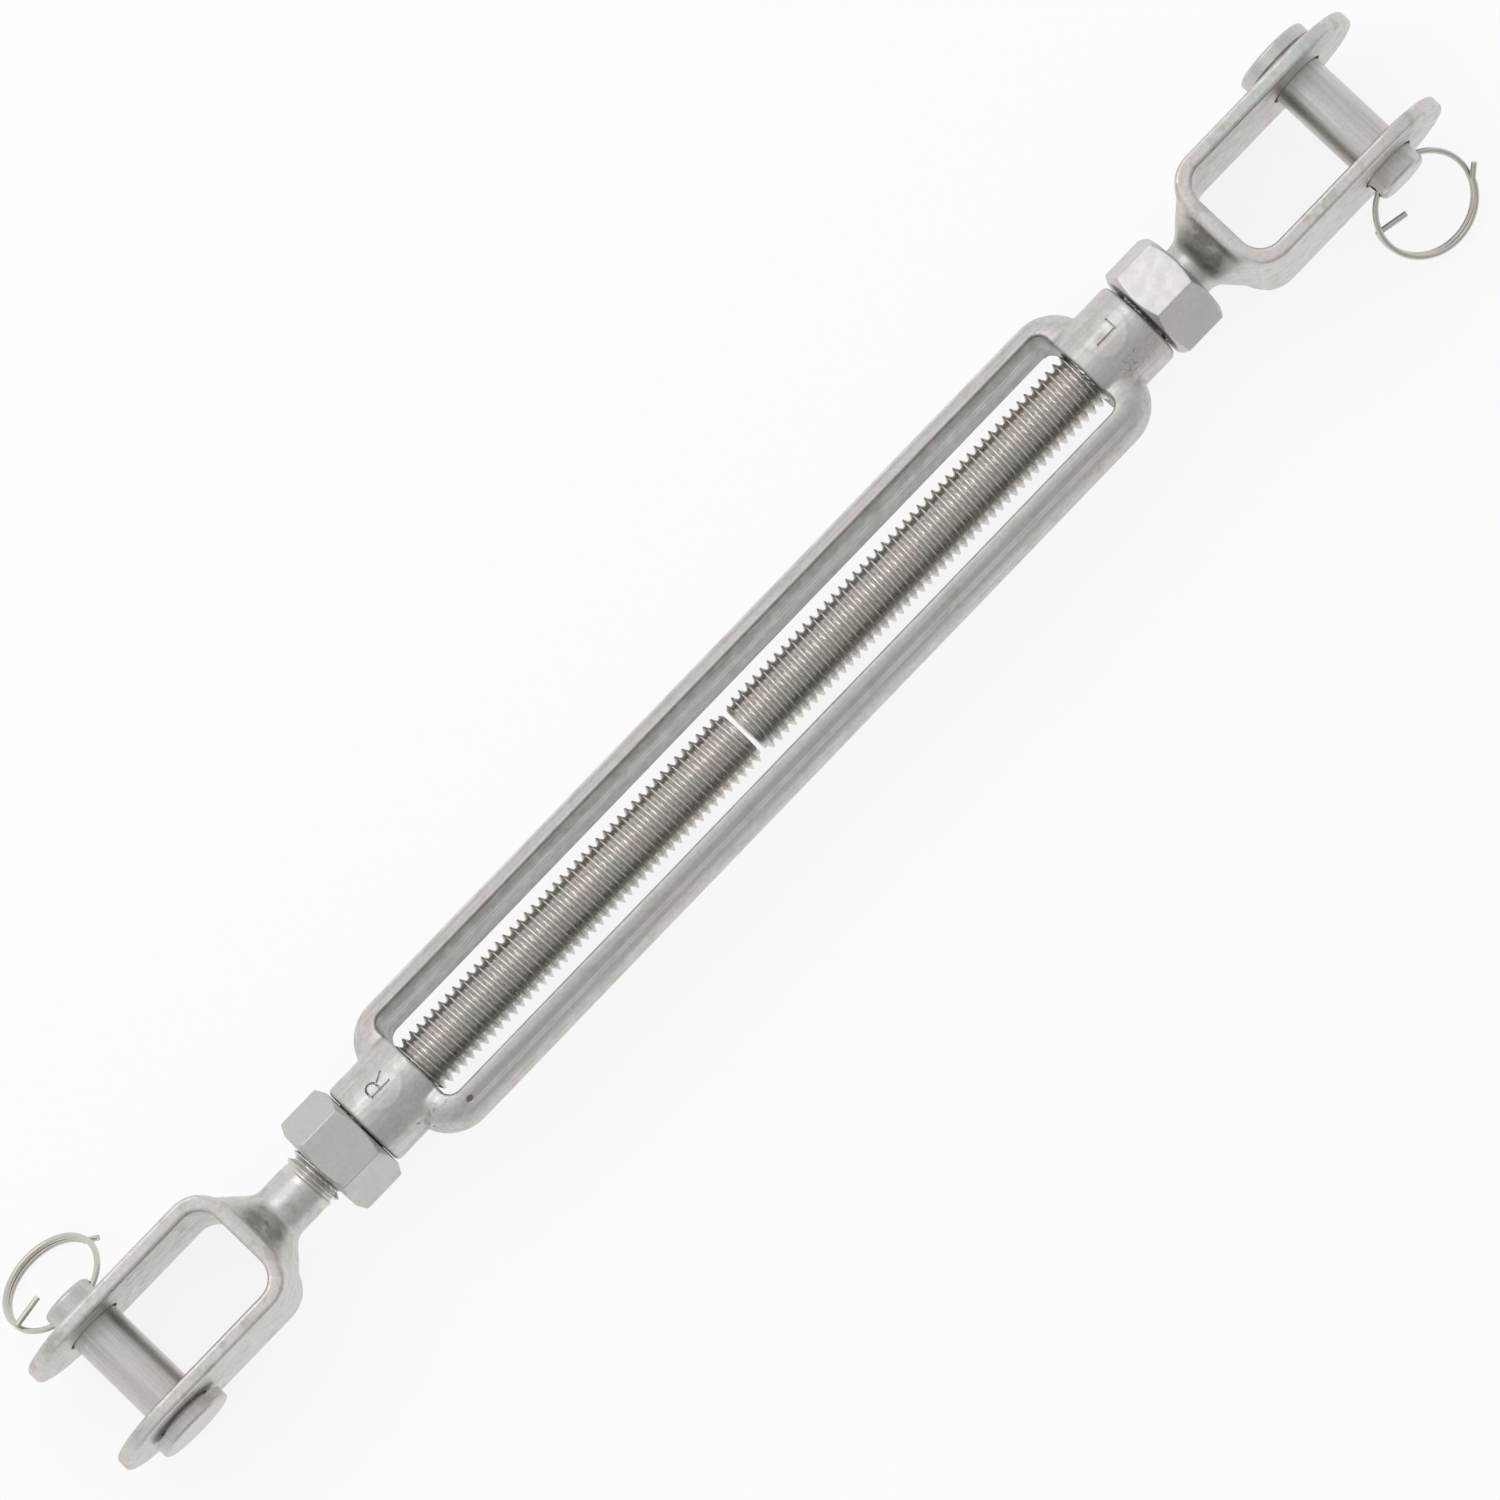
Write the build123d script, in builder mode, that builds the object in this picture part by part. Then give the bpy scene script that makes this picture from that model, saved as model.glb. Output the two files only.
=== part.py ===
from build123d import *
import os
from math import cos, radians, sin, tan
from typing import NamedTuple

# Open-body jaw-and-jaw rigging turnbuckle, M8 right-hand and left-hand threads.
# +X runs along the thread axis towards the left-hand end, and +Z is up when both forks lie on their edges.
# The origin is on the thread axis, midway between the two clevis pins. Millimetres throughout.

# Thread, ISO metric coarse
THREAD_MAJOR_R = 8.0 / 2
THREAD_PITCH = 1.25
THREAD_DEPTH = 0.613 * THREAD_PITCH
THREAD_CREST = THREAD_PITCH / 8
THREAD_FLANK = THREAD_DEPTH * tan(radians(30))
THREAD_RUNNING_GAP = 0.08
TAPPED_R = THREAD_MAJOR_R + THREAD_RUNNING_GAP
STUD_TIP_CHAMFER = 0.8

# Frame: a plate with a fully rounded rim, a long window, and a boss at each end
FRAME_CENTRE_X = 2.7
FRAME_ROLL = 16.0
WINDOW_LENGTH = 116.6
WINDOW_WIDTH = 14.6
WINDOW_CORNER_R = 1.6
LEG_WIDTH = 7.2
LEG_THICKNESS = 3.1
RIM_R = 3.5
SHOULDER_R = 6.0
SHOULDER_LENGTH = 4.7
BOSS_R = 6.0
BOSS_LENGTH = 9.7
BOSS_EDGE_R = 0.7
TAPPED_MOUTH = 0.4
MOUTH_ANGLE = 45.0

# Thread-hand letters on the bosses
LETTER_HEIGHT = 3.1
LETTER_WIDTH = 1.7
LETTER_STROKE = 0.32
LETTER_DEPTH = 0.28
LEG_OF_R_ANGLE = 28.0

# Lock nut
NUT_ACROSS_FLATS = 12.8
NUT_HEIGHT = 7.25
NUT_FACE_R = 6.1
NUT_CHAMFER = 0.75
NUT_CORNER_R = 7.4

# Fork: a flat strap bent to a U, with a web that tapers to the neck
PIN_SPAN = 210.4
EAR_R = 9.6
EAR_THICKNESS = 2.0
EAR_EDGE_R = 0.45
FORK_GAP = 13.3
FORK_DEPTH = 19.9
FORK_BASE = 2.2
FORK_INNER_CORNER_R = 3.0
FORK_OUTER_CORNER_R = 5.0
EAR_HOLE_R = 7.8 / 2
WEB_LENGTH = 3.0
WEB_WIDTH = 12.4
WEB_HEIGHT = 16.8
WEB_WAIST_WIDTH = 9.2
WEB_WAIST_HEIGHT = 11.4
WEB_CORNER_R = 3.0
WEB_ROOT = 0.5
NECK_R = 7.2 / 2

# Clevis pin
PIN_R = 7.0 / 2
PIN_SHANK = 21.0
PIN_HEAD_R = 10.5 / 2
PIN_HEAD = 1.7
PIN_HEAD_EDGE = 0.45
PIN_TAIL_EDGE = 0.6
CROSS_HOLE_R = 1.0
CROSS_HOLE_INSET = 1.6

# Split ring: round wire coiled for about a turn and a half, its outer end sprung outwards and its inner end
# bent to the centre. Angles run from +X through the side furthest from the pin.
WIRE_R = 0.38
BEND_R = 0.39
RING_R = 6.7
RING_CENTRE = 6.2
RING_LAP = 0.82
RING_START = 17.5
RING_SWEEP = 535.0
COIL_SPANS = 6
OUTER_TAIL = 2.0
OUTER_TAIL_SPRUNG = 28.0
INNER_TAIL = 4.2


class End(NamedTuple):
    """What differs between the two ends."""

    name: str
    side: int
    stud_length: float
    neck_length: float
    head_gap: float
    nut_gap: float
    nut_turn: float
    ring_droop: float


ENDS = (
    End("rh", -1, 106.0, neck_length=4.4, head_gap=0.6, nut_gap=0.15, nut_turn=52.8, ring_droop=43.0),
    End("lh", 1, 103.7, neck_length=1.5, head_gap=1.0, nut_gap=0.5, nut_turn=47.8, ring_droop=38.0),
)


def pin_x(end):
    return end.side * PIN_SPAN / 2


def plan(end):
    """Flat plane with its origin at the pin, x away from the frame."""
    return Plane(origin=(pin_x(end), 0, 0), x_dir=(end.side, 0, 0), z_dir=(0, 0, 1))


def profile(end):
    """Upright plane along the thread axis, x away from the frame, facing the pin's head."""
    return Plane(origin=(pin_x(end), 0, 0), x_dir=(end.side, 0, 0), z_dir=(0, end.side, 0))


def section(end, x):
    """Plane square to the thread axis, x outwards from the pin, facing away from the frame."""
    return Plane(origin=(pin_x(end) + end.side * x, 0, 0), x_dir=(0, end.side, 0), z_dir=(end.side, 0, 0))


def along_pin(end):
    """Plane through the pin's axis, x towards the head and y away from the frame."""
    return Plane(origin=(pin_x(end), 0, 0), x_dir=(0, end.side, 0), z_dir=(0, 0, -1))


def frame_end(end, out):
    """Plane square to the thread axis, a distance out from the frame's middle, facing away from it."""
    x = FRAME_CENTRE_X + end.side * out
    return Plane(origin=(x, 0, 0), x_dir=(0, 1, 0), z_dir=(end.side, 0, 0))


os.makedirs("parts", exist_ok=True)

# ---- turnbuckle frame -------------------------------------------------------------------------------------
roll = radians(FRAME_ROLL)
frame_up = Vector(0, sin(roll), cos(roll))
frame_plane = Plane(origin=(FRAME_CENTRE_X, 0, 0), x_dir=(1, 0, 0), z_dir=frame_up)
frame_width = WINDOW_WIDTH + 2 * LEG_THICKNESS
frame_length = WINDOW_LENGTH + 2 * SHOULDER_LENGTH
boss_inner = WINDOW_LENGTH / 2
boss_outer = boss_inner + BOSS_LENGTH

with BuildPart() as turnbuckle_frame:
    with BuildSketch(frame_plane):
        RectangleRounded(frame_length, frame_width, SHOULDER_R)
    extrude(amount=LEG_WIDTH / 2, both=True)
    rims = turnbuckle_frame.faces().filter_by(Plane(frame_plane.origin, z_dir=frame_up))
    fillet(rims.edges(), radius=RIM_R)
    with BuildSketch(frame_plane):
        RectangleRounded(WINDOW_LENGTH, WINDOW_WIDTH, WINDOW_CORNER_R)
    extrude(amount=LEG_WIDTH, both=True, mode=Mode.SUBTRACT)
    for end in ENDS:
        with BuildSketch(frame_end(end, boss_inner)):
            Circle(BOSS_R)
        extrude(amount=BOSS_LENGTH)
        outwards = Axis((0, 0, 0), (end.side, 0, 0))
        boss_rim = turnbuckle_frame.edges().filter_by(GeomType.CIRCLE).sort_by(outwards)[-1]
        fillet(boss_rim, radius=BOSS_EDGE_R)
    for end in ENDS:
        with BuildSketch(frame_end(end, boss_outer)):
            Circle(TAPPED_R)
        extrude(amount=-BOSS_LENGTH, mode=Mode.SUBTRACT)
        with BuildSketch(frame_end(end, boss_outer)):
            Circle(TAPPED_R + TAPPED_MOUTH)
        extrude(amount=-TAPPED_MOUTH, taper=MOUTH_ANGLE, mode=Mode.SUBTRACT)

    letter_floor = frame_plane.offset(BOSS_R - LETTER_DEPTH)
    half_wide, half_high = LETTER_WIDTH / 2, LETTER_HEIGHT / 2
    bowl_r = LETTER_HEIGHT / 4
    for end in ENDS:
        middle = letter_floor.from_local_coords((end.side * (boss_inner + BOSS_LENGTH / 2), 0, 0))
        across_frame = frame_plane.y_dir
        with BuildSketch(Plane(origin=middle, x_dir=across_frame, z_dir=frame_up)):
            with Locations((-half_wide, 0)):
                Rectangle(LETTER_STROKE, LETTER_HEIGHT)
            if end.name == "lh":
                with Locations((0, -half_high + LETTER_STROKE / 2)):
                    Rectangle(LETTER_WIDTH, LETTER_STROKE)
            else:
                with Locations((bowl_r - half_wide, half_high - bowl_r)):
                    Circle(bowl_r + LETTER_STROKE / 2)
                    Circle(bowl_r - LETTER_STROKE / 2, mode=Mode.SUBTRACT)
                with Locations(Location((half_wide / 2, -half_high / 2), LEG_OF_R_ANGLE)):
                    Rectangle(LETTER_STROKE, half_high + LETTER_STROKE)
        extrude(amount=2 * LETTER_DEPTH, mode=Mode.SUBTRACT)
turnbuckle_frame.part.label = "turnbuckle_frame"
export_step(turnbuckle_frame.part, "parts/turnbuckle_frame.step")

# ---- lock nuts --------------------------------------------------------------------------------------------
for end in ENDS:
    nut_inner = boss_outer + end.nut_gap
    nut_outer = nut_inner + NUT_HEIGHT
    with BuildPart() as lock_nut:
        with BuildSketch(frame_end(end, nut_inner)):
            RegularPolygon(NUT_ACROSS_FLATS / 2, side_count=6, major_radius=False, rotation=end.nut_turn)
        extrude(amount=NUT_HEIGHT)
        with BuildSketch(Plane.XY):
            with BuildLine():
                inner, outer = (FRAME_CENTRE_X + end.side * out for out in (nut_inner, nut_outer))
                chamfer_in, chamfer_out = inner + end.side * NUT_CHAMFER, outer - end.side * NUT_CHAMFER
                Polyline(
                    (inner, 0),
                    (inner, NUT_FACE_R),
                    (chamfer_in, NUT_CORNER_R),
                    (chamfer_out, NUT_CORNER_R),
                    (outer, NUT_FACE_R),
                    (outer, 0),
                    close=True,
                )
            make_face()
        revolve(axis=Axis.X, mode=Mode.INTERSECT)
        with BuildSketch(frame_end(end, nut_inner)):
            Circle(TAPPED_R)
        extrude(amount=NUT_HEIGHT, mode=Mode.SUBTRACT)
        mouths = lock_nut.edges().filter_by(GeomType.CIRCLE).group_by(SortBy.RADIUS)[0]
        chamfer(mouths, length=TAPPED_MOUTH)
    lock_nut.part.label = f"lock_nut_{end.name}"
    export_step(lock_nut.part, f"parts/lock_nut_{end.name}.step")

# ---- jaws: fork, web, neck and threaded stud in one forging --------------------------------------------------
base_inner = -FORK_DEPTH
base_outer = base_inner - FORK_BASE
web_end = base_outer - WEB_LENGTH
root_r = THREAD_MAJOR_R - THREAD_DEPTH
ear_outer = FORK_GAP / 2 + EAR_THICKNESS


def thread_teeth(start, finish):
    """The half-profile of the thread's V teeth, from start down to finish along the stud."""
    teeth = []
    x = start
    while x - THREAD_PITCH > finish + STUD_TIP_CHAMFER:
        crest = x - THREAD_FLANK
        teeth += [(x, root_r), (crest, THREAD_MAJOR_R), (crest - THREAD_CREST, THREAD_MAJOR_R)]
        teeth += [(crest - THREAD_CREST - THREAD_FLANK, root_r)]
        x -= THREAD_PITCH
    return teeth


for end in ENDS:
    tip = -end.stud_length
    with BuildPart() as jaw_screw:
        with BuildSketch(plan(end)):
            with BuildLine():
                outside, inside = ear_outer, FORK_GAP / 2
                FilletPolyline(
                    (EAR_R, outside),
                    (base_outer, outside),
                    (base_outer, -outside),
                    (EAR_R, -outside),
                    radius=FORK_OUTER_CORNER_R,
                )
                Line((EAR_R, -outside), (EAR_R, -inside))
                FilletPolyline(
                    (EAR_R, -inside),
                    (base_inner, -inside),
                    (base_inner, inside),
                    (EAR_R, inside),
                    radius=FORK_INNER_CORNER_R,
                )
                Line((EAR_R, inside), (EAR_R, outside))
            make_face()
        extrude(amount=EAR_R, both=True)
        with BuildSketch(profile(end)):
            Circle(EAR_R)
            with Locations((base_outer / 2, 0)):
                Rectangle(-base_outer, 2 * EAR_R)
        extrude(amount=2 * ear_outer, both=True, mode=Mode.INTERSECT)
        rims = jaw_screw.edges().filter_by(Axis.Z, reverse=True)
        fillet([rim for rim in rims if rim.length > EAR_THICKNESS + EAR_EDGE_R], radius=EAR_EDGE_R)
        with BuildSketch(profile(end)):
            Circle(EAR_HOLE_R)
        extrude(amount=2 * ear_outer, both=True, mode=Mode.SUBTRACT)
        with BuildSketch(section(end, base_outer + WEB_ROOT)):
            RectangleRounded(WEB_WIDTH, WEB_HEIGHT, WEB_CORNER_R)
        with BuildSketch(section(end, base_outer - WEB_LENGTH / 2)):
            RectangleRounded(WEB_WAIST_WIDTH, WEB_WAIST_HEIGHT, WEB_CORNER_R)
        with BuildSketch(section(end, web_end)):
            Circle(NECK_R)
        loft()
        with BuildSketch(plan(end)):
            with BuildLine():
                Polyline(
                    (base_outer, 0),
                    (base_outer, NECK_R),
                    (web_end - end.neck_length, NECK_R),
                    *thread_teeth(web_end - end.neck_length, tip),
                    (tip + STUD_TIP_CHAMFER, root_r),
                    (tip, THREAD_MAJOR_R - STUD_TIP_CHAMFER),
                    (tip, 0),
                    close=True,
                )
            make_face()
        revolve(axis=Axis.X)
    jaw_screw.part.label = f"jaw_screw_{end.name}"
    export_step(jaw_screw.part, f"parts/jaw_screw_{end.name}.step")

# ---- clevis pins ------------------------------------------------------------------------------------------
for end in ENDS:
    head_seat = ear_outer + end.head_gap
    tail = head_seat - PIN_SHANK
    with BuildPart() as clevis_pin:
        with BuildSketch(along_pin(end)):
            with BuildLine():
                Polyline(
                    (tail, 0),
                    (tail, PIN_R),
                    (head_seat, PIN_R),
                    (head_seat, PIN_HEAD_R),
                    (head_seat + PIN_HEAD, PIN_HEAD_R),
                    (head_seat + PIN_HEAD, 0),
                    close=True,
                )
            make_face()
        revolve(axis=Axis(plan(end).origin, (0, 1, 0)))
        rims = clevis_pin.edges().filter_by(GeomType.CIRCLE).sort_by(Axis(plan(end).origin, (0, end.side, 0)))
        fillet(rims[0], radius=PIN_TAIL_EDGE)
        fillet(rims[-1], radius=PIN_HEAD_EDGE)
        with BuildSketch(section(end, 0)):
            with Locations((tail + CROSS_HOLE_INSET, 0)):
                Circle(CROSS_HOLE_R)
        extrude(amount=2 * PIN_R, both=True, mode=Mode.SUBTRACT)
    clevis_pin.part.label = f"clevis_pin_{end.name}"
    export_step(clevis_pin.part, f"parts/clevis_pin_{end.name}.step")

# ---- split rings ------------------------------------------------------------------------------------------
coil_rise = RING_LAP * RING_SWEEP / 360
span_rise = coil_rise / COIL_SPANS
span_sweep = RING_SWEEP / COIL_SPANS
for end in ENDS:
    hole_y = ear_outer + end.head_gap - PIN_SHANK + CROSS_HOLE_INSET
    cross_hole = section(end, 0).from_local_coords((hole_y, 0, 0))
    droop = radians(end.ring_droop)
    away = Vector(0, -end.side * cos(droop), -sin(droop))
    along = Vector(1, 0, 0)
    start_way = along * cos(radians(RING_START)) + away * sin(radians(RING_START))
    ring_plane = Plane(origin=cross_hole + away * RING_CENTRE, x_dir=start_way, z_dir=along.cross(away))
    coil_foot = ring_plane.offset(-coil_rise / 2).location
    spans = []
    for n in range(COIL_SPANS):
        helix = Helix(pitch=RING_LAP, height=span_rise, radius=RING_R)
        spans.append(coil_foot * Location((0, 0, n * span_rise), (0, 0, n * span_sweep)) * helix)
    outer_end, outer_way = spans[0] @ 0, spans[0] % 0
    inner_end = spans[-1] @ 1
    with BuildPart() as split_ring:
        for span in spans:
            with BuildSketch(Plane(origin=span @ 0, z_dir=span % 0)):
                Circle(WIRE_R)
            sweep(path=span, is_frenet=True)
        sprung = radians(OUTER_TAIL_SPRUNG)
        outward = start_way * sin(sprung) - outer_way * cos(sprung)
        inward = (ring_plane.offset(coil_rise / 2).origin - inner_end).normalized()
        for root, way, length in ((outer_end, outward, OUTER_TAIL), (inner_end, inward, INNER_TAIL)):
            with Locations(root):
                Sphere(BEND_R)
            with BuildSketch(Plane(origin=root, z_dir=way)):
                Circle(WIRE_R)
            extrude(amount=length)
    split_ring.part.label = f"split_ring_{end.name}"
    export_step(split_ring.part, f"parts/split_ring_{end.name}.step")
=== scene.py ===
"""Looks of an open-frame jaw-and-jaw rigging turnbuckle in satin stainless steel.

The row frame: +X along the thread axis towards the left-hand end, +Y along the clevis pins, +Z up.
Lengths are millimetres until they reach Blender, which works in metres.
"""

import math

import bmesh
import bpy
import numpy as np
from mathutils import Matrix, Vector


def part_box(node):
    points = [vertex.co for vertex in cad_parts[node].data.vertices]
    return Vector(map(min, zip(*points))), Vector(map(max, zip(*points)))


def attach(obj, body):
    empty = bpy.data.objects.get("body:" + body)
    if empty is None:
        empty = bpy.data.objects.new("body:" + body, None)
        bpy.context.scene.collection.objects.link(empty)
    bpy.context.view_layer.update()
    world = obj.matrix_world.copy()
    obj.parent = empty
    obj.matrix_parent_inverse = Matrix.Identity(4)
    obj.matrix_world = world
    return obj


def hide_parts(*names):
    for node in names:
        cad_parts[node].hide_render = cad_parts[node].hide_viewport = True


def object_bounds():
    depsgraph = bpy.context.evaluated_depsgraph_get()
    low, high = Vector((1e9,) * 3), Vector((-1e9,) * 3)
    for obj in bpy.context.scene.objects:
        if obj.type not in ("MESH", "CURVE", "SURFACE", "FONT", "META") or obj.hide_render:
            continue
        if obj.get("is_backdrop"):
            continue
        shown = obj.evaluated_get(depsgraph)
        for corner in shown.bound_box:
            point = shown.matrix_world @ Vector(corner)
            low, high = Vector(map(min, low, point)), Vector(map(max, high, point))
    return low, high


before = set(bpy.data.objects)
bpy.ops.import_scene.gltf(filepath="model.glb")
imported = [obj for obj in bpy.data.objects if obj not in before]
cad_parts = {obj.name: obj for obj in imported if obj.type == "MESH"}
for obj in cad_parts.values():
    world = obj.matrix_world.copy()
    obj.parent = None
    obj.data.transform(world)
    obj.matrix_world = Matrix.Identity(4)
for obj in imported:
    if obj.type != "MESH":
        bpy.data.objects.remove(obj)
cad_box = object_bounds()

MM = 0.001

# ---- sizes that the CAD source has, where a node's box doesn't give them ---------------------------------
PITCH = 1.25
CREST_R = 4.0
ROOT_R = 3.233
NECK_R = 3.6
TIP_CHAMFER = 0.8
ENDS = {"rh": (-1, -75.7), "lh": (1, 78.6)}  # side, and where the neck meets the thread

FRAME_CENTRE_X = 2.7
FRAME_ROLL = math.radians(16.0)
BOSS_R = 6.0
BOSS_START = 58.3
BOSS_LENGTH = 9.7
LETTER_OUT = BOSS_START + BOSS_LENGTH / 2
SHOULDER_END = 63.0
WINDOW_HALF = 7.3
WINDOW_CORNER_R = 1.6
LEG_HALF = 3.6
RIM_CENTRE = (6.9, 0.1)  # centre of a leg's rounded rim, across and above the frame's middle
RIM_R = 3.5
FORK_EDGE_Z = 9.6

FRAME_UP = np.array([0.0, math.sin(FRAME_ROLL), math.cos(FRAME_ROLL)])
FRAME_ACROSS = np.array([0.0, math.cos(FRAME_ROLL), -math.sin(FRAME_ROLL)])

# ---- details that only the looks have ---------------------------------------------------------------------
FRAME_VOXEL, FORK_VOXEL, NUT_VOXEL = 0.2, 0.15, 0.12
FRAME_ROUNDS, FORK_ROUNDS, NUT_ROUNDS = 2, 1, 4  # of smoothing all over
SHOULDER_ROUNDS, LETTER_ROUNDS, WEB_ROUNDS = 140, 12, 130  # of smoothing in one place

# pairs of where a fade starts and where it ends
SHOULDER_NEAR, SHOULDER_HIGH = (1.2, 3.2), (1.8, 3.4)  # from the shoulder's end, and above the frame's middle
LETTER_NEAR = (2.0, 2.8)  # from a letter's centre
WEB_STARTS, WEB_ENDS = (79.0, 80.4), (83.6, 85.2)  # a fork's web, out from the middle
SEAM_ENDS = (56.0, 61.0)  # out from the frame's middle

SEAM_ANGLE = math.radians(47.5)  # round the rim, from straight above its centre
SEAM_HEIGHT = 0.09
PAD_R = 3.1  # of the raised pad round each letter
PAD_HEIGHT = 0.05
LINE_WIDTH = 0.26  # of a seam and of a pad's outline
LETTER_WIDE, LETTER_HIGH, LETTER_STROKE = 1.7, 3.1, 0.3
LETTER_DEPTH, LETTER_CLEAR = 0.3, 0.5  # below and above the boss's surface
BOWL_STEPS = 10
PIT_FIELDS = ((-59.0, -6.0, 4.0), (66.5, -3.6, 4.6))
DEEP_PIT = (-53.8, -7.8, 5.2)
SCALE_PATCHES = (((82.6, 0.6, 6.0), (1.5, 1.9, 3.5)), ((82.0, -2.0, 5.0), (1.1, 1.6, 3.5)))  # centre, radii


# ---- mesh work ---------------------------------------------------------------------------------------------
def points_of(mesh):
    at = np.empty(len(mesh.vertices) * 3)
    mesh.vertices.foreach_get("co", at)
    return at.reshape(-1, 3)


def set_points(mesh, at):
    mesh.vertices.foreach_set("co", at.ravel())
    mesh.update()


def relax(mesh, rounds, weight=None):
    """Rounds of smoothing, all over or by a weight from 0 to 1 per vertex. All over, each round also swells the
    mesh again, which keeps its size."""
    shrink, swell = 0.5, 0.52
    at = points_of(mesh)
    edges = np.empty(len(mesh.edges) * 2, int)
    mesh.edges.foreach_get("vertices", edges)
    one, two = edges.reshape(-1, 2).T
    count = len(at)
    degree = np.bincount(edges, minlength=count).astype(float)[:, None]

    def to_neighbours():
        sums = [np.bincount(one, at[two, k], count) + np.bincount(two, at[one, k], count) for k in range(3)]
        return np.stack(sums, 1) / degree - at

    for _ in range(rounds):
        if weight is None:
            at += shrink * to_neighbours()
            at -= swell * to_neighbours()
        else:
            at += (shrink * weight)[:, None] * to_neighbours()
    set_points(mesh, at)


def ramp(value, start, end):
    t = np.clip((value - start) / (end - start), 0, 1)
    return t * t * (3 - 2 * t)


def bell(value, width):
    return np.exp(-((value / width) ** 2))


def edited(mesh, edit):
    """The mesh after one bmesh edit of it."""
    work = bmesh.new()
    work.from_mesh(mesh)
    edit(work)
    work.to_mesh(mesh)
    work.free()
    return mesh


def face_outwards(work):
    bmesh.ops.recalc_face_normals(work, faces=work.faces)


def copy_of_node(node):
    """The node's mesh in millimetres with the vertices of neighbouring faces joined."""
    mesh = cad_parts[node].data.copy()
    mesh.materials.clear()
    mesh.transform(Matrix.Scale(1 / MM, 4))
    return edited(mesh, lambda work: bmesh.ops.remove_doubles(work, verts=work.verts, dist=1e-4))


def linked(name, data):
    """A new object of the scene."""
    obj = bpy.data.objects.new(name, data)
    bpy.context.scene.collection.objects.link(obj)
    return obj


def with_modifier(mesh, kind, **settings):
    """The mesh that a modifier makes of this one."""
    obj = linked("work", mesh)
    modifier = obj.modifiers.new("work", kind)
    for key, value in settings.items():
        setattr(modifier, key, value)
    made = bpy.data.meshes.new_from_object(obj.evaluated_get(bpy.context.evaluated_depsgraph_get()))
    bpy.data.objects.remove(obj)
    return made


def remeshed(mesh, voxel):
    return with_modifier(mesh, "REMESH", mode="VOXEL", voxel_size=voxel)


def cut(mesh, cutter):
    tool = linked("tool", cutter)
    made = with_modifier(mesh, "BOOLEAN", operation="DIFFERENCE", solver="MANIFOLD", object=tool)
    bpy.data.objects.remove(tool)
    return made


def piece(name, mesh, body, material, node, sharp=50):
    """A visible piece that stands for a CAD node on its body, from a mesh in millimetres."""
    mesh.transform(Matrix.Scale(MM, 4))
    mesh.name = name
    mesh.materials.clear()
    mesh.materials.append(material)
    mesh.shade_smooth()
    mesh.set_sharp_from_angle(angle=math.radians(sharp))
    obj = linked(name, mesh)
    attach(obj, body)
    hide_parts(node)


# ---- procedural steels -------------------------------------------------------------------------------------
PINKISH = (0.66, 0.62, 0.60)
GREENISH = (0.62, 0.63, 0.60)
# grey of the random specks, also used for the painted shade beside each leg's seam
SPECK_AND_SEAM_SHADE_GREY = (0.34, 0.32, 0.30)
LINE_GREY = (0.38, 0.36, 0.34)
# unpolished grey of the window's walls, which also paints in their shade
WALL_GREY_AND_SHADE = (0.28, 0.30, 0.28)
HEAT_BRONZE = (0.40, 0.32, 0.25)
SCALE_BROWN = (0.17, 0.14, 0.11)
# painted shade line round the window's edges
EDGE_SHADE_BROWN = (0.16, 0.14, 0.12)
PIT_BLACK = (0.10, 0.08, 0.07)
RUBBED_BRIGHT = (0.80, 0.78, 0.76)
# painted highlight along each leg's seam
SEAM_HIGHLIGHT = (0.86, 0.84, 0.82)
# painted shade in the mesh's hollows
HOLLOW_SHADE = (0.25, 0.23, 0.21)

# roughness of each way of making, at its smoothest and its roughest
FORGED = (0.34, 0.48)
MILLED = (0.36, 0.46)
TURNED = (0.26, 0.32)
DRAWN = (0.24, 0.32)
ROLLED = (0.22, 0.34)


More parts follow.
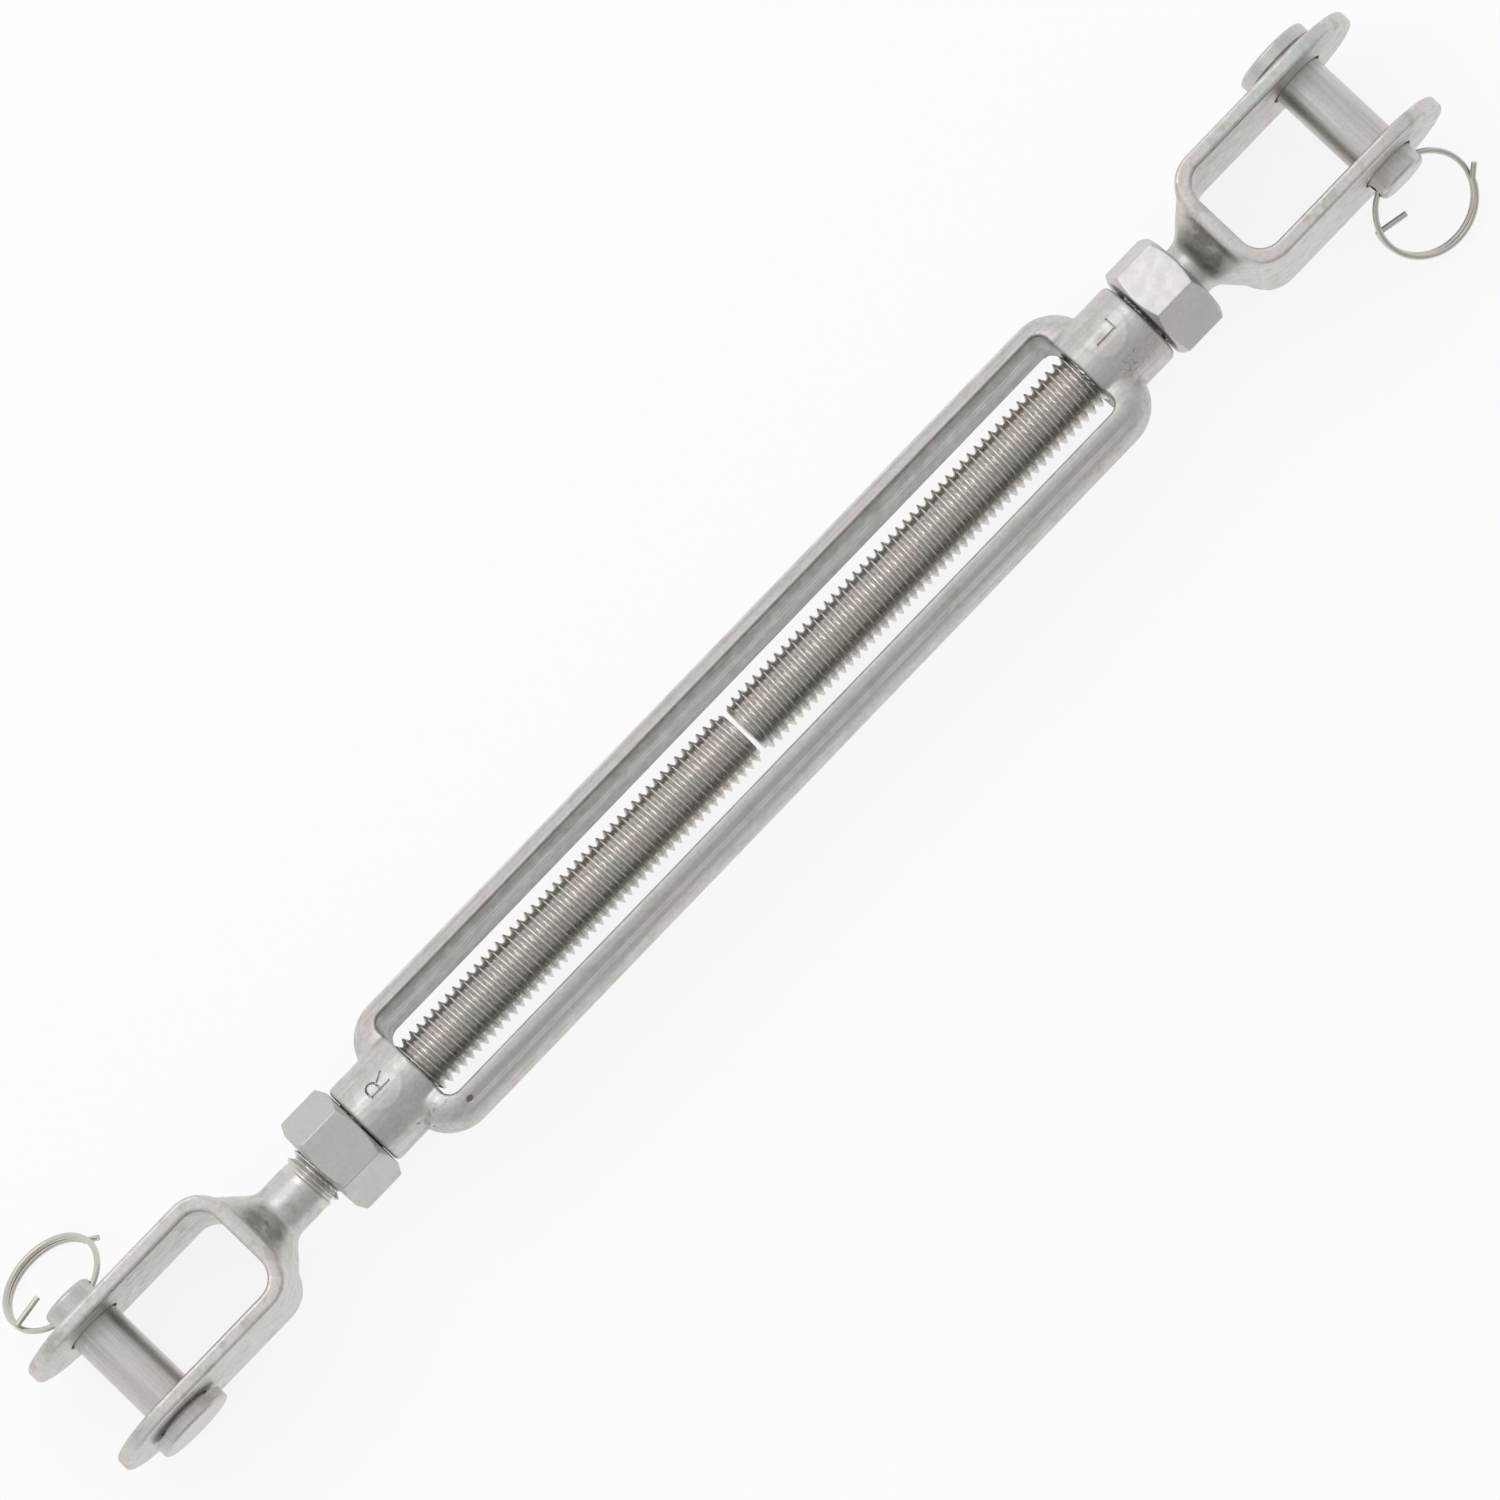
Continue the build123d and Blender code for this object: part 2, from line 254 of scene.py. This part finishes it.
class Steel:
    """A satin stainless steel: two tints in soft patches, mottled roughness, grain, and stains, painted shade
    and painted highlights where told.

    Sizes, and the heights of grain, swell and dents, are millimetres. Depths of colour are shares from 0 to 1.
    """

    def __init__(self, name, warm, cool, rough, grain=0.006, swell=0.02, patch=7.0, specks=0.16):
        self.material = bpy.data.materials.new(name)
        self.material.use_nodes = True
        self.tree = self.material.node_tree
        self.shader = self.tree.nodes["Principled BSDF"]
        self.shader.inputs["Metallic"].default_value = 1.0
        self.where = self.node("ShaderNodeTexCoord").outputs["Object"]
        patches = self.range(self.noise(patch, 2.0), 0.38, 0.62)
        self.colour = self.mix(patches, (*warm, 1), (*cool, 1))
        self.tint(self.range(self.noise(0.5, 3.0), 0.30, 0.75), SPECK_AND_SEAM_SHADE_GREY, specks)
        self.rough = self.range(self.noise(1.6, 4.0), 0.3, 0.7, *rough)
        fine, broad = self.noise(0.22, 2.0), self.noise(2.6, 1.0)
        self.height = self.sum(self.scaled(fine, grain), self.scaled(broad, swell))

    def node(self, kind, inputs=None, **settings):
        made = self.tree.nodes.new(kind)
        for key, value in settings.items():
            setattr(made, key, value)
        for key, value in (inputs or {}).items():
            if isinstance(value, bpy.types.NodeSocket):
                self.tree.links.new(value, made.inputs[key])
            else:
                made.inputs[key].default_value = value
        return made

    def noise(self, size, detail, stretch=(1, 1, 1)):
        """Noise whose features are about size millimetres, longer along the axes that stretch names."""
        where = self.where
        if stretch != (1, 1, 1):
            where = self.vector("MULTIPLY", where, tuple(1 / s for s in stretch))
        inputs = {"Vector": where, "Scale": 1 / (size * MM), "Detail": detail}
        return self.node("ShaderNodeTexNoise", inputs).outputs["Fac"]

    def vector(self, operation, a, b=(0, 0, 0)):
        made = self.node("ShaderNodeVectorMath", {0: a, 1: b}, operation=operation)
        return made.outputs["Value" if operation in ("LENGTH", "DOT_PRODUCT") else "Vector"]

    def joined(self, x, y):
        """The vector (x, y, 0)."""
        return self.node("ShaderNodeCombineXYZ", {0: x, 1: y, 2: 0.0}).outputs[0]

    def math(self, operation, a, b=0.0):
        return self.node("ShaderNodeMath", {0: a, 1: b}, operation=operation).outputs[0]

    def scaled(self, a, by):
        return self.math("MULTIPLY", a, by)

    def sum(self, a, b):
        return self.math("ADD", a, b)

    def absolute(self, a):
        return self.math("ABSOLUTE", a)

    def range(self, value, low, high, to_low=0.0, to_high=1.0):
        """A smooth step of the value from low to high, which may run downwards."""
        keys = {"Value": value, "From Min": low, "From Max": high, "To Min": to_low, "To Max": to_high}
        return self.node("ShaderNodeMapRange", keys, interpolation_type="SMOOTHSTEP").outputs["Result"]

    def mix(self, share, a, b):
        return self.node("ShaderNodeMix", {0: share, 6: a, 7: b}, data_type="RGBA").outputs[2]

    def spot(self, centre, radii, ragged=0.5):
        """A ragged-edged mask, 1 inside an ellipsoid and 0 outside."""
        offset = self.vector("SUBTRACT", self.where, tuple(c * MM for c in centre))
        offset = self.vector("MULTIPLY", offset, tuple(1 / (r * MM) for r in radii))
        tear = self.scaled(self.sum(self.noise(1.1, 4.0), -0.5), 2 * ragged)
        return self.range(self.sum(self.vector("LENGTH", offset), tear), 1.0, 0.55)

    def tint(self, mask, colour, depth):
        self.colour = self.mix(self.scaled(mask, depth), self.colour, (*colour, 1))

    # A tint with a change of roughness: draws real stains, and also painted shade and painted highlights.
    def stain_and_painted_light(self, mask, colour, depth, rougher=0.2):
        self.tint(mask, colour, depth)
        self.rough = self.sum(self.rough, self.scaled(mask, rougher))

    def dent(self, mask, depth):
        self.height = self.sum(self.height, self.scaled(mask, -depth))

    def bronze(self, size, depth):
        """Faint brown heat tint in scattered patches."""
        self.tint(self.range(self.noise(size, 3.0), 0.54, 0.68), HEAT_BRONZE, depth)

    def streaks(self, size, stretch, depth):
        """Fine lines, as turning or drawing leaves them."""
        lines = self.range(self.noise(size, 3.0, stretch), 0.35, 0.65)
        self.stain_and_painted_light(lines, LINE_GREY, depth, rougher=0.06)

    def rubbed_edges_and_hollow_shade(self, bright, dark):
        """Convex edges rubbed bright, and hollows darkened with painted shade, by the mesh's curvature, which is
        0.5 where flat.
        """
        bend = self.node("ShaderNodeNewGeometry").outputs["Pointiness"]
        edges = self.scaled(self.range(bend, 0.51, 0.56), bright)
        hollows = self.scaled(self.range(bend, 0.492, 0.45), dark)
        self.colour = self.mix(edges, self.colour, (*RUBBED_BRIGHT, 1))
        self.colour = self.mix(hollows, self.colour, (*HOLLOW_SHADE, 1))
        self.rough = self.sum(self.rough, self.scaled(hollows, 0.2))

    def done(self):
        bump = self.node("ShaderNodeBump", {"Height": self.height, "Distance": MM, "Strength": 1.0})
        self.tree.links.new(self.colour, self.shader.inputs["Base Color"])
        self.tree.links.new(self.rough, self.shader.inputs["Roughness"])
        self.tree.links.new(bump.outputs["Normal"], self.shader.inputs["Normal"])
        return self.material


def from_middle(steel, axis, origin=0.0):
    """Distance from the frame's middle along one of its axes, either way."""
    along = steel.scaled(steel.vector("DOT_PRODUCT", steel.where, tuple(axis)), 1 / MM)
    return steel.absolute(steel.sum(along, -origin))


def from_window(steel, out, across):
    """Distance outside the window's rounded rectangle, and negative inside it."""
    past_x = steel.sum(out, WINDOW_CORNER_R - BOSS_START)
    past_y = steel.sum(across, WINDOW_CORNER_R - WINDOW_HALF)
    past_corner = steel.vector("MAXIMUM", steel.joined(past_x, past_y))
    return steel.sum(steel.vector("LENGTH", past_corner), -WINDOW_CORNER_R)


def wall_grey_and_shade_looks(steel, out, across, above):
    """The window's walls get an unpolished grey tint that also paints in their shade, darkest at the top."""
    walls = steel.range(from_window(steel, out, across), 0.30, 0.05)
    shade = steel.range(above, -2.0, LEG_HALF, 0.15, 0.6)
    steel.stain_and_painted_light(steel.scaled(walls, shade), WALL_GREY_AND_SHADE, 1.0, rougher=0.12)


def seam_highlight_and_shade_looks(steel, out, across, above):
    """A painted highlight runs along the seam on each leg's rim, which is also less rough there, with a band of
    painted shade on its inner side.
    """
    past, high = steel.sum(across, -RIM_CENTRE[0]), steel.sum(above, -RIM_CENTRE[1])
    angle = steel.math("ARCTAN2", past, high)
    from_seam = steel.scaled(steel.sum(angle, -SEAM_ANGLE), RIM_R)
    on_leg = steel.range(out, BOSS_START + 1.0, BOSS_START - 3.0)
    patchy = steel.range(steel.noise(3.0, 2.0), 0.35, 0.6, 0.35, 1.0)
    seam = steel.scaled(steel.range(steel.absolute(from_seam), 0.42, 0.08), on_leg)
    steel.stain_and_painted_light(steel.scaled(seam, patchy), SEAM_HIGHLIGHT, 0.6, rougher=-0.1)
    # painted shade on the seam's inner side
    band = steel.range(steel.absolute(steel.sum(from_seam, 0.75)), 0.6, 0.2)
    steel.tint(steel.scaled(band, on_leg), SPECK_AND_SEAM_SHADE_GREY, 0.22)


def edge_shade_looks(steel, out, across, above):
    """A line of painted shade runs round the window's edges."""
    to_edge = steel.vector("LENGTH", steel.joined(from_window(steel, out, across), steel.sum(above, -LEG_HALF)))
    steel.stain_and_painted_light(steel.range(to_edge, 0.40, 0.15), EDGE_SHADE_BROWN, 0.55)


def frame_steel():
    steel = Steel("forged_frame_steel", PINKISH, GREENISH, FORGED, specks=0.24)
    steel.bronze(2.2, 0.22)
    steel.streaks(0.45, (30, 1, 1), 0.22)
    coordinates = (
        from_middle(steel, (1, 0, 0), FRAME_CENTRE_X),
        from_middle(steel, FRAME_ACROSS),
        from_middle(steel, FRAME_UP),
    )
    for looks in (wall_grey_and_shade_looks, seam_highlight_and_shade_looks, edge_shade_looks):
        looks(steel, *coordinates)
    for centre in PIT_FIELDS:
        pits = steel.range(steel.noise(0.45, 2.0), 0.56, 0.66)
        pits = steel.scaled(pits, steel.spot(centre, (3.4, 1.6, 3.0)))
        steel.dent(pits, 0.05)
        steel.stain_and_painted_light(pits, SCALE_BROWN, 0.35)
    deep_pit = steel.spot(DEEP_PIT, (0.75, 0.5, 1.2))
    steel.stain_and_painted_light(deep_pit, PIT_BLACK, 0.75)
    steel.dent(deep_pit, 0.12)
    # convex edges rubbed bright, and painted shade in the frame's hollows
    steel.rubbed_edges_and_hollow_shade(bright=0.15, dark=0.45)
    return steel.done()


def jaw_steel(end, scale_depth):
    """Forged steel with the dark scale that is left in the hollow between web and neck."""
    side, _ = ENDS[end]
    steel = Steel(f"forged_jaw_steel_{end}", PINKISH, GREENISH, FORGED, specks=0.26)
    steel.bronze(1.8, 0.35)
    for (out, across, above), radii in SCALE_PATCHES:
        steel.stain_and_painted_light(steel.spot((side * out, across, above), radii, ragged=0.8), SCALE_BROWN, scale_depth)
    steel.rubbed_edges_and_hollow_shade(bright=0.3, dark=0.0)
    return steel.done()


def nut_steel(end, warm, cool):
    return Steel(f"nut_steel_{end}", warm, cool, MILLED, grain=0.008, swell=0.0).done()


def turned_steel():
    steel = Steel("pin_steel", (0.64, 0.60, 0.58), (0.62, 0.60, 0.58), TURNED, grain=0.002, swell=0.0)
    steel.streaks(0.25, (1, 40, 1), 0.3)
    return steel.done()


def thread_steel():
    return Steel("thread_steel", (0.68, 0.64, 0.61), (0.65, 0.63, 0.60), ROLLED, swell=0.0, patch=4.0).done()


def wire_steel():
    tints = (0.62, 0.59, 0.55), (0.59, 0.57, 0.53)
    return Steel("wire_steel", *tints, DRAWN, grain=0.0006, swell=0.0, specks=0.08).done()


forged_frame = frame_steel()
forged_jaw = {"rh": jaw_steel("rh", 0.5), "lh": jaw_steel("lh", 0.6)}
thread = thread_steel()
# One milled steel for both nuts; the right-hand nut's darker, greener tints are painted shade on that nut.
nut_steels_lit_and_shaded = {
    "rh": nut_steel("rh", (0.56, 0.57, 0.54), (0.59, 0.57, 0.55)),
    "lh": nut_steel("lh", (0.64, 0.60, 0.59), (0.60, 0.59, 0.57)),
}
turned_pin = turned_steel()
spring_wire = wire_steel()


# ---- frame: a softened forging with raised lines, and the letters cut after the softening -------------------
def frame_coordinates(at):
    """Of points: out from the frame's middle along the thread axis, across it, and above it."""
    return np.abs(at[:, 0] - FRAME_CENTRE_X), at @ FRAME_ACROSS, at @ FRAME_UP


def soft_frame():
    mesh = remeshed(copy_of_node("turnbuckle_frame"), FRAME_VOXEL)
    relax(mesh, FRAME_ROUNDS)
    out, across, above = frame_coordinates(points_of(mesh))
    near_shoulder = 1 - ramp(np.abs(out - SHOULDER_END), *SHOULDER_NEAR)
    relax(mesh, SHOULDER_ROUNDS, near_shoulder * ramp(np.abs(above), *SHOULDER_HIGH))
    near_letter = 1 - ramp(np.hypot(out - LETTER_OUT, across), *LETTER_NEAR)
    relax(mesh, LETTER_ROUNDS, near_letter * (above > 0))
    raise_lines(mesh)
    return mesh


def raise_lines(mesh):
    """Forging lines: a seam along each rounded rim of the legs, and the outline of the pad at each letter."""
    at = points_of(mesh)
    out, across, above = frame_coordinates(at)
    past, high = np.abs(across) - RIM_CENTRE[0], np.abs(above) - RIM_CENTRE[1]
    angle = np.arctan2(past, high)
    on_rim = (1 - ramp(out, *SEAM_ENDS)) * (past > 0) * (np.hypot(past, high) > RIM_R - 0.4)
    seam = SEAM_HEIGHT * on_rim * bell((angle - SEAM_ANGLE) * RIM_R, LINE_WIDTH)
    at += (seam * np.sin(angle) * np.sign(across))[:, None] * FRAME_ACROSS
    at += (seam * np.cos(angle) * np.sign(above))[:, None] * FRAME_UP
    pad = PAD_HEIGHT * bell(np.hypot(out - LETTER_OUT, across) - PAD_R, LINE_WIDTH) * (above > 3)
    at += pad[:, None] * FRAME_UP
    set_points(mesh, at)


def bar(x0, y0, x1, y1):
    """The outline of a straight stroke."""
    along = np.array([x1 - x0, y1 - y0]) / math.hypot(x1 - x0, y1 - y0)
    side = np.array([-along[1], along[0]]) * LETTER_STROKE / 2
    a, b = np.array([x0, y0]), np.array([x1, y1])
    return [tuple(p) for p in (a - side, b - side, b + side, a + side)]


def arc_quads(cx, cy, radius):
    """The outlines of a half ring's pieces, from its top round by the right to its bottom."""
    turn = [math.pi * (0.5 - k / BOWL_STEPS) for k in range(BOWL_STEPS + 1)]
    outer, inner = radius + LETTER_STROKE / 2, radius - LETTER_STROKE / 2
    for a, b in zip(turn, turn[1:]):
        corners = (outer, a), (outer, b), (inner, b), (inner, a)
        yield [(cx + r * math.cos(t), cy + r * math.sin(t)) for r, t in corners]


def strokes(end):
    """The outlines of the strokes of R or L, in the letter's own plane."""
    left, right, bottom, top = -LETTER_WIDE / 2, LETTER_WIDE / 2, -LETTER_HIGH / 2, LETTER_HIGH / 2
    yield bar(left, bottom, left, top)
    if end == "lh":
        yield bar(left - LETTER_STROKE / 2, bottom, right, bottom)
        return
    bowl = LETTER_HIGH / 4
    cx, cy = bowl + left, top - bowl
    yield from arc_quads(cx, cy, bowl)
    yield bar(left, top, cx, top)
    yield bar(left, 0.0, cx, 0.0)
    yield bar(0.0, 0.0, right, bottom)


def letter_cutter(end):
    """Upright prisms on the strokes of one thread-hand letter, through the boss's surface."""
    side, _ = ENDS[end]
    x0 = FRAME_CENTRE_X + side * LETTER_OUT

    def place(x, y, z):
        # the letter's own x runs across the frame and its top points towards the right-hand end
        return Vector((x0 - y, *(FRAME_ACROSS * x + FRAME_UP * (BOSS_R + z))[1:]))

    def build(work):
        for outline in strokes(end):
            low, high = [
                [work.verts.new(place(x, y, z)) for x, y in outline] for z in (-LETTER_DEPTH, LETTER_CLEAR)
            ]
            work.faces.new(low[::-1])
            work.faces.new(high)
            for k, n in zip(range(4), (1, 2, 3, 0)):
                work.faces.new((low[k], low[n], high[n], high[k]))
        face_outwards(work)

    return edited(bpy.data.meshes.new("letter"), build)


forging = soft_frame()
for end in ENDS:
    forging = cut(forging, letter_cutter(end))
piece("frame_forging", forging, "frame", forged_frame, "turnbuckle_frame")


# ---- jaws: a softened fork, and the real helical thread ------------------------------------------------------
def soft_fork(end):
    """The jaw without its thread, with the web blended into the neck."""
    side, thread_start = ENDS[end]

    def drop_thread(work):
        geometry = work.verts[:] + work.edges[:] + work.faces[:]
        kept = bmesh.ops.bisect_plane(
            work, geom=geometry, plane_co=(thread_start, 0, 0), plane_no=(-side, 0, 0), clear_outer=True
        )
        rim = [e for e in kept["geom_cut"] if isinstance(e, bmesh.types.BMEdge)]
        bmesh.ops.edgeloop_fill(work, edges=rim)

    mesh = remeshed(edited(copy_of_node(f"jaw_screw_{end}"), drop_thread), FORK_VOXEL)
    relax(mesh, FORK_ROUNDS)
    out = side * points_of(mesh)[:, 0]
    web = ramp(out, *WEB_STARTS) * (1 - ramp(out, *WEB_ENDS))
    relax(mesh, WEB_ROUNDS, web)
    return mesh


def helical_stud(end):
    """A grid wrapped round the thread axis, whose radius follows the ISO metric profile along a helix."""
    rows_per_turn, columns = 20, 72
    sunk = 1.5  # how far the grid runs on inside the neck
    root_fillet, root_spread = 0.06, 0.004
    side, thread_start = ENDS[end]
    low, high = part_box(f"jaw_screw_{end}")
    tip = (high.x if side < 0 else low.x) / MM
    length = abs(tip - thread_start)
    rows = int((length + sunk) / PITCH * rows_per_turn)
    along = np.linspace(0, length + sunk, rows)[:, None]
    turn = np.linspace(0, 2 * math.pi, columns, endpoint=False)[None, :]
    x = tip + side * along
    # the sign of side makes the helix right-hand at the right-hand end and left-hand at the other
    phase = (x / PITCH + side * turn / (2 * math.pi)) % 1
    from_crest = np.abs(phase - 0.5) * PITCH
    flank = CREST_R - (from_crest - PITCH / 16) / math.tan(math.radians(30))
    r = np.minimum(CREST_R, np.maximum(ROOT_R, flank))
    r = np.maximum(r, ROOT_R + root_fillet * np.exp(-(phase**2) / root_spread))
    into_neck = ramp(along, length - 1.6 * PITCH, length - 0.2 * PITCH)
    r = r * (1 - into_neck) + (NECK_R - 0.02) * into_neck
    r = np.minimum(r, CREST_R - TIP_CHAMFER + along)
    spots = np.stack(np.broadcast_arrays(x, r * np.cos(turn), r * np.sin(turn)), -1).reshape(-1, 3)
    ends = [(float(tip), 0, 0), (float(tip + side * (length + sunk)), 0, 0)]
    first, last, base = len(spots), len(spots) + 1, (rows - 1) * columns
    ring = [(j, (j + 1) % columns) for j in range(columns)]
    faces = [(i + j, i + k, i + columns + k, i + columns + j) for i in range(0, base, columns) for j, k in ring]
    for j, k in ring:
        faces += [(first, k, j), (last, base + j, base + k)]
    mesh = bpy.data.meshes.new("stud")
    mesh.from_pydata([*map(tuple, spots), *ends], [], faces)
    return edited(mesh, face_outwards)


for end in ENDS:
    node, jaw = f"jaw_screw_{end}", f"jaw_{end}"
    piece(f"fork_{end}", soft_fork(end), jaw, forged_jaw[end], node)
    piece(f"screw_{end}", helical_stud(end), jaw, thread, node, sharp=40)

# ---- lock nuts: softened edges -------------------------------------------------------------------------------
for end in ENDS:
    nut = remeshed(copy_of_node(f"lock_nut_{end}"), NUT_VOXEL)
    relax(nut, NUT_ROUNDS)
    piece(f"nut_{end}", nut, f"nut_{end}", nut_steels_lit_and_shaded[end], f"lock_nut_{end}")

# ---- pins and rings keep their CAD meshes --------------------------------------------------------------------
for end in ENDS:
    for node, steel in ((f"clevis_pin_{end}", turned_pin), (f"split_ring_{end}", spring_wire)):
        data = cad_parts[node].data
        data.materials.clear()
        data.materials.append(steel)


# ---- floor, light and sky ------------------------------------------------------------------------------------
def lit_floor(half, gap, glow):
    """A white plane just under the forks, with a glow of its own as on a light table."""
    z = -(FORK_EDGE_Z + gap) * MM
    corners = [(x * half * MM, y * half * MM, z) for x, y in ((-1, -1), (1, -1), (1, 1), (-1, 1))]
    mesh = bpy.data.meshes.new("floor")
    mesh.from_pydata(corners, [], [(0, 1, 2, 3)])
    paint = bpy.data.materials.new("floor_white")
    paint.use_nodes = True
    sockets = paint.node_tree.nodes["Principled BSDF"].inputs
    sockets["Base Color"].default_value = (0.16, 0.16, 0.16, 1)
    sockets["Emission Color"].default_value = (1, 1, 1, 1)
    sockets["Emission Strength"].default_value = glow
    sockets["Roughness"].default_value = 0.9
    sockets["Specular IOR Level"].default_value = 0.1
    mesh.materials.append(paint)
    linked("floor", mesh)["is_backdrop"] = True


def area_light(name, at, size, power):
    """A rectangular light that faces the object. Metres and watts."""
    light = bpy.data.lights.new(name, "AREA")
    light.shape = "RECTANGLE"
    light.size, light.size_y = size
    light.energy = power
    obj = linked(name, light)
    obj.location = at
    obj.rotation_mode = "QUATERNION"
    obj.rotation_quaternion = (-Vector(at)).to_track_quat("-Z", "Y")


def graded_sky(dim, bright):
    """A pale surround that grows brighter towards +Y."""
    world = bpy.data.worlds.new("studio")
    world.use_nodes = True
    nodes, links = world.node_tree.nodes, world.node_tree.links
    split = nodes.new("ShaderNodeSeparateXYZ")
    links.new(nodes.new("ShaderNodeTexCoord").outputs["Generated"], split.inputs[0])
    grade = nodes.new("ShaderNodeMapRange")
    grade.interpolation_type = "SMOOTHSTEP"
    for key, value in {"From Min": -0.9, "From Max": 0.5, "To Min": dim, "To Max": bright}.items():
        grade.inputs[key].default_value = value
    links.new(split.outputs["Y"], grade.inputs["Value"])
    links.new(grade.outputs["Result"], nodes["Background"].inputs["Strength"])
    nodes["Background"].inputs["Color"].default_value = (0.98, 0.99, 1.0, 1)
    bpy.context.scene.world = world


lit_floor(half=3000.0, gap=0.02, glow=0.84)
area_light("key", at=(-0.1, 0.52, 0.8), size=(0.9, 0.5), power=1.3)
graded_sky(dim=0.50, bright=0.92)
bpy.context.scene.view_settings.view_transform = "Standard"

# ---- camera --------------------------------------------------------------------------------------------------
CAMERA_AT = Vector((-47.6, -188.3, 1300.0)) * MM
CAMERA_TARGET = Vector((0.1, -2.1, 0.0)) * MM
THREAD_AXIS_TILT = math.radians(46.05)  # how far the thread axis is turned anticlockwise in the picture
SENSOR = 36.0
FOCAL = 260.1

back = (CAMERA_AT - CAMERA_TARGET).normalized()
level_x = Vector((1, 0, 0)) - back * back.x
level_x.normalize()
level_y = back.cross(level_x)
right = level_x * math.cos(THREAD_AXIS_TILT) - level_y * math.sin(THREAD_AXIS_TILT)
up = back.cross(right)
camera_data = bpy.data.cameras.new("camera")
camera_data.sensor_width = SENSOR
camera_data.lens = FOCAL
camera_data.clip_end = 10.0
camera = linked("camera", camera_data)
camera.matrix_world = Matrix.Translation(CAMERA_AT) @ Matrix((right, up, back)).transposed().to_4x4()
bpy.context.scene.camera = camera

visual_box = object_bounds()
boxes = {"cad": cad_box, "visual": visual_box}
{key: [list(low), list(high)] for key, (low, high) in boxes.items()}
